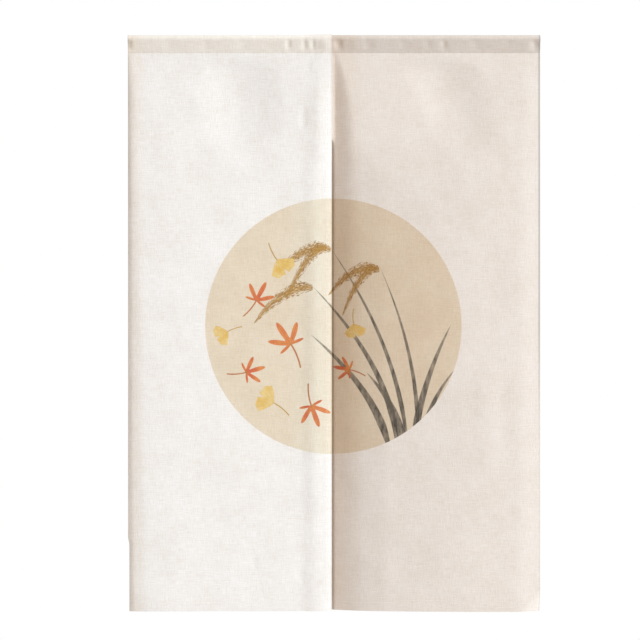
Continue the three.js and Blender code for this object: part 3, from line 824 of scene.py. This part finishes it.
def left_depth(x, z):
    places = ("turn", "curl", "middle", "foot", "crest", "hem")
    xs, ys = fallen(LEFT_FALL, z, places, ("edge", "slit"))
    return through([left_edge_at(z), *xs, 0], ys, x) + creased(LEFT_CREASES, x, z)


def left_lapped(x, z):
    """The left panel's slit edge lies over the right panel's as far down as the seam goes."""
    sewn_down = smooth((z - LAP_END + LAP_FADE) / LAP_FADE)
    return LAP_LIFT * smooth((x + LAP_REACH) / (LAP_REACH - LAP_FLAT)) * sewn_down


LEFT_LINEN = (0.834, 0.791, 0.766)
left_columns = spaced(LEFT_EDGE, LEFT_COLUMNS)
points, left_flat = cloth_grid(left_columns, left_narrowed, left_depth, LEFT_DENTS, left_lapped)
behind = hem_layer(left_flat, LEFT_EDGE, 0)
cloth_left, left_front, left_back = sheet_mesh("cloth_left", points, left_flat, behind)
# The sleeve tint and the warm tint at the left edge given here are painted shade
cloth_left.data.materials.append(linen_material(
    "Linen left", LEFT_LINEN, LEFT_EDGE, 0,
    sleeve_painted_shade=(0.985, 0.96, 0.915), painted_warm_shade=(1.0, 0.965, 0.925), painted_shade_width=0.034,
))
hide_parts("panel_left", "sleeve_left")
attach(cloth_left, "root")


# RIGHT PANEL. The same linen, hemmed and sleeved in the same way, but tinted darker than the left panel's
# as painted shade. Its slit edge starts under the left panel's, and below the seam it falls back in a
# steep wall, a shoulder and a soft crest.
# Its outer edge curls back, and the foot's outer corner is bent along a short crease.

RIGHT_START = -4.0
RIGHT_EDGE = 433.0
# Its pairs run from the lip of the slit's hem, over the wall, the shoulder and the crest, to the curl
RIGHT_FALL = [
    dict(
        z=SEWN_AT, slit=0, lip=(6.5, 0.3), wall=(14, 0), shoulder=(40, 0),
        crest=(117, 0), middle=(300, 0), curl=(392, 0), edge=0,
    ),
    dict(
        z=-110, slit=4.6, lip=(6.5, 6.2), wall=(38, -0.6), shoulder=(64, -0.2),
        crest=(117, 0.3), middle=(300, 0.2), curl=(396, -1.2), edge=0.4,
    ),
    dict(
        z=-200, slit=8, lip=(6.5, 9.9), wall=(48, 1.4), shoulder=(80, 1.5),
        crest=(117, 1.2), middle=(304, -1.8), curl=(390, -2.6), edge=-0.8,
    ),
    dict(
        z=-206, slit=8.4, lip=(6.5, 10.2), wall=(48, 1.7), shoulder=(80, 1.7),
        crest=(117, 1.3), middle=(304, -1.9), curl=(390, -2.7), edge=-0.8,
    ),
    dict(
        z=-226, slit=13.5, lip=(6.5, 12), wall=(48, 3), shoulder=(79, 2.4),
        crest=(117, 1.7), middle=(306, -2.2), curl=(390, -2.9), edge=-0.9,
    ),
    dict(
        z=-330, slit=23.5, lip=(6.5, 20.4), wall=(44, 10.6), shoulder=(72, 7),
        crest=(117, 3.4), middle=(310, -3.6), curl=(386, -3.8), edge=-1.2,
    ),
    dict(
        z=-620, slit=29, lip=(6.5, 25.8), wall=(42, 15.2), shoulder=(69, 9.9),
        crest=(117, 3.9), middle=(312, -4.4), curl=(382, -4.4), edge=-0.8,
    ),
    dict(
        z=-900, slit=29, lip=(6.5, 25.6), wall=(44, 15), shoulder=(72, 9.7),
        crest=(118, 4), middle=(312, -4.4), curl=(382, -4.4), edge=-0.7,
    ),
    dict(
        z=-955, slit=27.6, lip=(6.5, 24.8), wall=(66, 10.6), shoulder=(88, 7.4),
        crest=(120, 4), middle=(312, -4.4), curl=(382, -4.4), edge=-0.7,
    ),
    dict(
        z=-1020, slit=28, lip=(6.5, 24.8), wall=(48, 13.9), shoulder=(74, 9.2),
        crest=(118, 4), middle=(312, -4.2), curl=(382, -4.2), edge=-0.5,
    ),
    dict(
        z=-1110, slit=27.2, lip=(6.5, 24.4), wall=(62, 11.4), shoulder=(84, 7.8),
        crest=(118, 4), middle=(310, -4), curl=(380, -4), edge=-0.2,
    ),
    dict(
        z=FOOT, slit=27, lip=(6.5, 24), wall=(52, 12.8), shoulder=(78, 8.6),
        crest=(117, 4.1), middle=(308, -3.8), curl=(380, -3.7), edge=0.1,
    ),
]
RIGHT_CREASES = [
    ((212, -26), (282, -186), 84, 4),
    ((196, -90), (226, -260), 118, 2),
    ((324, -650), (325, -946), 38, -1),
]
RIGHT_DENTS = [
    (14, 12, 2.3), (46, 12, -0.5), (74, 12, 0.8), (150, 14, 0.6), (200, 12, 0.8), (233, 9, 1.4),
    (300, 16, 0.7), (366, 14, 0.6), (421, 12, 1.9),
]
RIGHT_COLUMNS = [
    (RIGHT_START + SIDE_HEM - HEM_STEP, 2.9), (RIGHT_START + SIDE_HEM + HEM_STEP, 2 * HEM_STEP),
    (70, 3.0), (RIGHT_EDGE - SIDE_HEM - HEM_STEP, 4.2), (RIGHT_EDGE - SIDE_HEM + HEM_STEP, 2 * HEM_STEP),
    (RIGHT_EDGE, 3.0),
]
# The foot's corner is bent back past a crease through (x, z), up to most times its reach
CORNER = dict(x=410, z=-1163, across=(0.75, -0.66), reach=20, depth=6, most=1.4)
# Below the seam the slit's hem turns sharply back
SLIT_TURN = dict(x=5.5, reach=9.5, depth=9, power=1.5, start=SLIT_TOP + 1, fade=14)


def right_depth(x, z):
    places = ("lip", "wall", "shoulder", "crest", "middle", "curl")
    xs, ys = fallen(RIGHT_FALL, z, places, ("slit", "edge"))
    slit, lip = ys[:2]
    hem = slit + (lip - slit) * (x - RIGHT_START) / (xs[0] - RIGHT_START)
    hung = np.where(x < xs[0], hem, through([*xs, RIGHT_EDGE], ys[1:], x))
    past = (x - CORNER["x"]) * CORNER["across"][0] + (z - CORNER["z"]) * CORNER["across"][1]
    bent = CORNER["depth"] * np.clip(past / CORNER["reach"], 0, CORNER["most"]) ** 2
    back = np.clip((SLIT_TURN["x"] - x) / SLIT_TURN["reach"], 0, 1) ** SLIT_TURN["power"]
    turned = SLIT_TURN["depth"] * back * smooth((SLIT_TURN["start"] - z) / SLIT_TURN["fade"])
    return hung + creased(RIGHT_CREASES, x, z) + bent + turned


def right_narrowed(columns, z):
    return columns


def right_lapped(x, z):
    return np.zeros_like(x)


# The right panel's linen is tinted darker than the left's: painted shade over the whole panel
RIGHT_LINEN_SHADED = (0.738, 0.658, 0.604)
right_columns = spaced(RIGHT_START, RIGHT_COLUMNS)
points, right_flat = cloth_grid(right_columns, right_narrowed, right_depth, RIGHT_DENTS, right_lapped)
behind = hem_layer(right_flat, RIGHT_START, RIGHT_EDGE)
cloth_right, right_front, right_back = sheet_mesh("cloth_right", points, right_flat, behind)
cloth_right.data.materials.append(linen_material(
    "Linen right", RIGHT_LINEN_SHADED, RIGHT_START, RIGHT_EDGE,
    sleeve_painted_shade=(0.885, 0.87, 0.855), painted_warm_shade=(0.95, 0.90, 0.85), painted_shade_width=0.066, right_fold_shade=0.75,
))
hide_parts("panel_right", "sleeve_right")
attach(cloth_right, "root")


# SEWING. Off-white cotton thread in straight stitches: one line under the sleeve, one along each
# hem, and two down the seam that joins the panels. Each stitch is a short rounded bead of thread,
# repeated along its line, and shows on both sides of the cloth.

STITCH_LENGTH = 0.0026
STITCH_GAP = 0.0012
THREAD_RADIUS = 0.00024
STITCH_SLANT = 0.09
THREAD_DARK = (0.72, 0.68, 0.63, 1)
THREAD_PALE = (0.83, 0.79, 0.74, 1)
TWIST_WAVES = 2600.0
TWIST_RELIEF = 0.0001
THREAD_ROUGHNESS = 0.6
ROUGHER_TWIST = 0.2


def make_thread_material():
    material = bpy.data.materials.new("Cotton thread")
    material.use_nodes = True
    tree = material.node_tree
    shader = tree.nodes["Principled BSDF"]
    where = put(tree, "TexCoord").outputs["Object"]
    twist = noise_at(tree, where, TWIST_WAVES)
    feed(tree, shader.inputs["Base Color"], blended(tree, twist, THREAD_DARK, THREAD_PALE))
    rough = calc(tree, "MULTIPLY_ADD", twist, ROUGHER_TWIST, THREAD_ROUGHNESS)
    feed(tree, shader.inputs["Roughness"], rough)
    raised = put(tree, "Bump", {"Strength": 0.5, "Distance": TWIST_RELIEF, "Height": twist})
    feed(tree, shader.inputs["Normal"], raised.outputs[0])
    return material


thread_material = make_thread_material()


def make_stitching():
    """Geometry nodes that turn sewn lines, given as edges, into rows of stitches."""
    tree = bpy.data.node_groups.new("Straight stitches", "GeometryNodeTree")
    face = tree.interface
    face.new_socket("Lines", in_out="INPUT", socket_type="NodeSocketGeometry")
    for label in ("Stitch length", "Gap", "Thread radius", "Slant"):
        face.new_socket(label, in_out="INPUT", socket_type="NodeSocketFloat")
    face.new_socket("Seed", in_out="INPUT", socket_type="NodeSocketInt")
    face.new_socket("Thread", in_out="INPUT", socket_type="NodeSocketMaterial")
    face.new_socket("Stitches", in_out="OUTPUT", socket_type="NodeSocketGeometry")

    def gn(kind, inputs=(), **settings):
        return put(tree, kind, inputs, family="", **settings).outputs

    given = tree.nodes.new("NodeGroupInput").outputs
    leave = tree.nodes.new("NodeGroupOutput")
    pitch = gn("ShaderNodeMath", [given["Stitch length"], given["Gap"]], operation="ADD")[0]
    curve = gn("GeometryNodeMeshToCurve", [given["Lines"]])[0]
    spots = gn("GeometryNodeResampleCurve", {"Curve": curve, "Length": pitch}, mode="LENGTH")[0]
    tangent = gn("GeometryNodeInputTangent")[0]
    turn = gn("FunctionNodeAlignRotationToVector", {"Vector": tangent}, axis="Z")[0]
    least = gn("ShaderNodeMath", [given["Slant"], -1.0], operation="MULTIPLY")[0]
    slant = gn(
        "FunctionNodeRandomValue",
        {2: least, 3: given["Slant"], "Seed": given["Seed"]},
        data_type="FLOAT",
    )[1]
    tilt = gn("ShaderNodeCombineXYZ", [slant, slant, 0.0])[0]
    slanted = gn(
        "FunctionNodeRotateRotation",
        {"Rotation": turn, "Rotate By": tilt},
        rotation_space="LOCAL",
    )[0]
    bead = gn("GeometryNodeMeshUVSphere", {"Segments": 6, "Rings": 4, "Radius": 1.0})[0]
    half = gn("ShaderNodeMath", [given["Stitch length"], 0.5], operation="MULTIPLY")[0]
    size = gn("ShaderNodeCombineXYZ", [given["Thread radius"], given["Thread radius"], half])[0]
    stitches = gn(
        "GeometryNodeInstanceOnPoints",
        {"Points": spots, "Instance": bead, "Rotation": slanted, "Scale": size},
    )[0]
    real = gn("GeometryNodeRealizeInstances", [stitches])[0]
    smoothed = gn("GeometryNodeSetShadeSmooth", [real])[0]
    done = gn("GeometryNodeSetMaterial", {"Geometry": smoothed, "Material": given["Thread"]})[0]
    tree.links.new(done, leave.inputs[0])
    return tree


stitching = make_stitching()


def on_surface(surface, flat, x, z):
    """The point on a grid surface over the flat cloth's place (x, z), in millimetres."""
    columns, rows = flat[0, :, 0], -flat[:, 0, 1]
    i = np.interp(x, columns, np.arange(len(columns)))
    j = np.interp(-z, rows, np.arange(len(rows)))
    i0, j0 = min(int(i), len(columns) - 2), min(int(j), len(rows) - 2)
    s, t = i - i0, j - j0
    top = surface[j0, i0] * (1 - s) + surface[j0, i0 + 1] * s
    low = surface[j0 + 1, i0] * (1 - s) + surface[j0 + 1, i0 + 1] * s
    return top * (1 - t) + low * t


LINE_STEP = 4.0


def sewn(name, lines, seed):
    """Stitches along the lines, each (surface, flat, start, end) in flat places, as one plain mesh."""
    corners, edges = [], []
    for surface, flat, start, end in lines:
        count = int(hypot(end[0] - start[0], end[1] - start[1]) / LINE_STEP) + 2
        first = len(corners)
        for x, z in np.linspace(start, end, count):
            corners.append((on_surface(surface, flat, x, z) * MM).tolist())
        edges.extend((first + k, first + k + 1) for k in range(count - 1))
    mesh = bpy.data.meshes.new(name + "_lines")
    mesh.from_pydata(corners, edges, [])
    carrier = bpy.data.objects.new(name + "_lines", mesh)
    bpy.context.collection.objects.link(carrier)
    modifier = carrier.modifiers.new("Stitches", "NODES")
    modifier.node_group = stitching
    values = {
        "Stitch length": STITCH_LENGTH,
        "Gap": STITCH_GAP,
        "Thread radius": THREAD_RADIUS,
        "Slant": STITCH_SLANT,
        "Seed": seed,
        "Thread": thread_material,
    }
    for item in stitching.interface.items_tree:
        if item.name in values and item.in_out == "INPUT":
            modifier[item.identifier] = values[item.name]
    depsgraph = bpy.context.evaluated_depsgraph_get()
    result = bpy.data.meshes.new_from_object(carrier.evaluated_get(depsgraph))
    made = bpy.data.objects.new(name, result)
    result.name = name
    bpy.context.collection.objects.link(made)
    carrier.modifiers.clear()
    bpy.data.objects.remove(carrier)
    bpy.data.meshes.remove(mesh)
    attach(made, "root")
    return made


# How far the sleeve's line stops from the sides, and the hems' lines from the sleeve's and the edges
SLEEVE_LINE_SHORT = 1.0
BELOW_SLEEVE = 3.0
HEM_LINE_SHORT = 2.0


def panel_lines(front, back, flat, left, right):
    """The sewn lines of one panel, on both sides: sleeve, two side hems and foot hem."""
    side = SIDE_HEM - STITCH_INSET
    foot = FOOT + FOOT_HEM - STITCH_INSET
    top, low = SEWN_AT - BELOW_SLEEVE, FOOT + HEM_LINE_SHORT
    spans = [
        ((left + SLEEVE_LINE_SHORT, SEWN_AT), (right - SLEEVE_LINE_SHORT, SEWN_AT)),
        ((left + side, top), (left + side, low)),
        ((right - side, top), (right - side, low)),
        ((left + HEM_LINE_SHORT, foot), (right - HEM_LINE_SHORT, foot)),
    ]
    return [(surface, flat, *span) for surface in (front, back) for span in spans]


# The seam runs down 2 mm from the slit, on both sides, and ends in a bar tack across the slit's top
SEAM = -2.0
SEAM_TOP = SEWN_AT - 2
TACK_FROM = -7.0
TACK_TO = -1.0
seam_lines = [
    (left_front, left_flat, (SEAM, SEAM_TOP), (SEAM, SLIT_TOP)),
    (left_front, left_flat, (TACK_FROM, SLIT_TOP), (TACK_TO, SLIT_TOP)),
    (right_back, right_flat, (SEAM, SEAM_TOP), (SEAM, SLIT_TOP)),
]
left_lines = panel_lines(left_front, left_back, left_flat, LEFT_EDGE, 0)
right_lines = panel_lines(right_front, right_back, right_flat, RIGHT_START, RIGHT_EDGE)
thread_left = sewn("thread_left", left_lines + seam_lines, seed=4)
thread_right = sewn("thread_right", right_lines, seed=9)


# STUDIO. A plain pale floor well under the curtain, and soft white light all round. One large lamp
# at the front right rakes across the folds and the weave, and a weaker one stands behind.

FLOOR_LEVEL = -1.95
FLOOR_SIDE = 4.0
FLOOR_NEAR = -4.5
FLOOR_FAR = 3.5
FLOOR_DARK = (0.84, 0.84, 0.83, 1)
FLOOR_PALE = (0.87, 0.87, 0.86, 1)
FLOOR_SPECKS = 40.0
FLOOR_ROUGHNESS = 0.7


def make_floor():
    mesh = bpy.data.meshes.new("floor")
    plan = [
        (-FLOOR_SIDE, FLOOR_NEAR), (FLOOR_SIDE, FLOOR_NEAR),
        (FLOOR_SIDE, FLOOR_FAR), (-FLOOR_SIDE, FLOOR_FAR),
    ]
    mesh.from_pydata([(x, y, FLOOR_LEVEL) for x, y in plan], [], [(0, 1, 2, 3)])
    made = bpy.data.objects.new("floor", mesh)
    bpy.context.collection.objects.link(made)
    material = bpy.data.materials.new("Pale floor")
    material.use_nodes = True
    tree = material.node_tree
    shader = tree.nodes["Principled BSDF"]
    where = put(tree, "TexCoord").outputs["Object"]
    speck = noise_at(tree, where, FLOOR_SPECKS, detail=3.0)
    feed(tree, shader.inputs["Base Color"], blended(tree, speck, FLOOR_DARK, FLOOR_PALE))
    shader.inputs["Roughness"].default_value = FLOOR_ROUGHNESS
    mesh.materials.append(material)
    return made


make_floor()

ROOM_LIGHT = (1.0, 0.85, 0.71, 1)
ROOM_STRENGTH = 0.406
ROOM_SEEN = (1, 1, 1, 1)


def light_room():
    """Even light from all round, which looks plain white to the camera."""
    world = bpy.data.worlds.new("Soft white room")
    bpy.context.scene.world = world
    world.use_nodes = True
    tree = world.node_tree
    light = tree.nodes["Background"]
    light.inputs["Color"].default_value = ROOM_LIGHT
    light.inputs["Strength"].default_value = ROOM_STRENGTH
    seen = put(tree, "Background", {"Color": ROOM_SEEN, "Strength": 1.0})
    path = put(tree, "LightPath")
    both = put(tree, "MixShader", [path.outputs["Is Camera Ray"], light.outputs[0], seen.outputs[0]])
    feed(tree, tree.nodes["World Output"].inputs["Surface"], both.outputs[0])


light_room()

AIM = Vector((0, 0, -0.59))
LAMP_DISTANCE = 14.0
LAMP_SIZE = 4.9


def lamp(name, azimuth, elevation, power, colour):
    """A square lamp aimed at the curtain's middle. Azimuth is counted from the front, to the right."""
    data = bpy.data.lights.new(name, "AREA")
    data.shape = "SQUARE"
    data.size = LAMP_SIZE
    data.energy = power
    data.color = colour
    made = bpy.data.objects.new(name, data)
    bpy.context.collection.objects.link(made)
    a, e = radians(azimuth), radians(elevation)
    made.location = AIM + LAMP_DISTANCE * Vector((sin(a) * cos(e), -cos(a) * cos(e), sin(e)))
    made.rotation_euler = (AIM - made.location).to_track_quat("-Z", "Y").to_euler()


lamp("key", azimuth=60, elevation=30, power=2960, colour=(0.81, 0.915, 1.0))
lamp("back", azimuth=150, elevation=6, power=550, colour=(1.0, 0.97, 0.94))

# The camera stands level, square to the curtain, nearly 4 m off
CAMERA_PLACE = (-0.0245, -3.698, -0.579)
CAMERA_LENS = 100
CAMERA_REACH = 50

camera_data = bpy.data.cameras.new("camera")
camera_data.lens = CAMERA_LENS
camera_data.clip_end = CAMERA_REACH
camera = bpy.data.objects.new("camera", camera_data)
camera.location = CAMERA_PLACE
camera.rotation_euler = (radians(90), 0, 0)
bpy.context.collection.objects.link(camera)
bpy.context.scene.camera = camera
bpy.context.scene.view_settings.view_transform = "Standard"
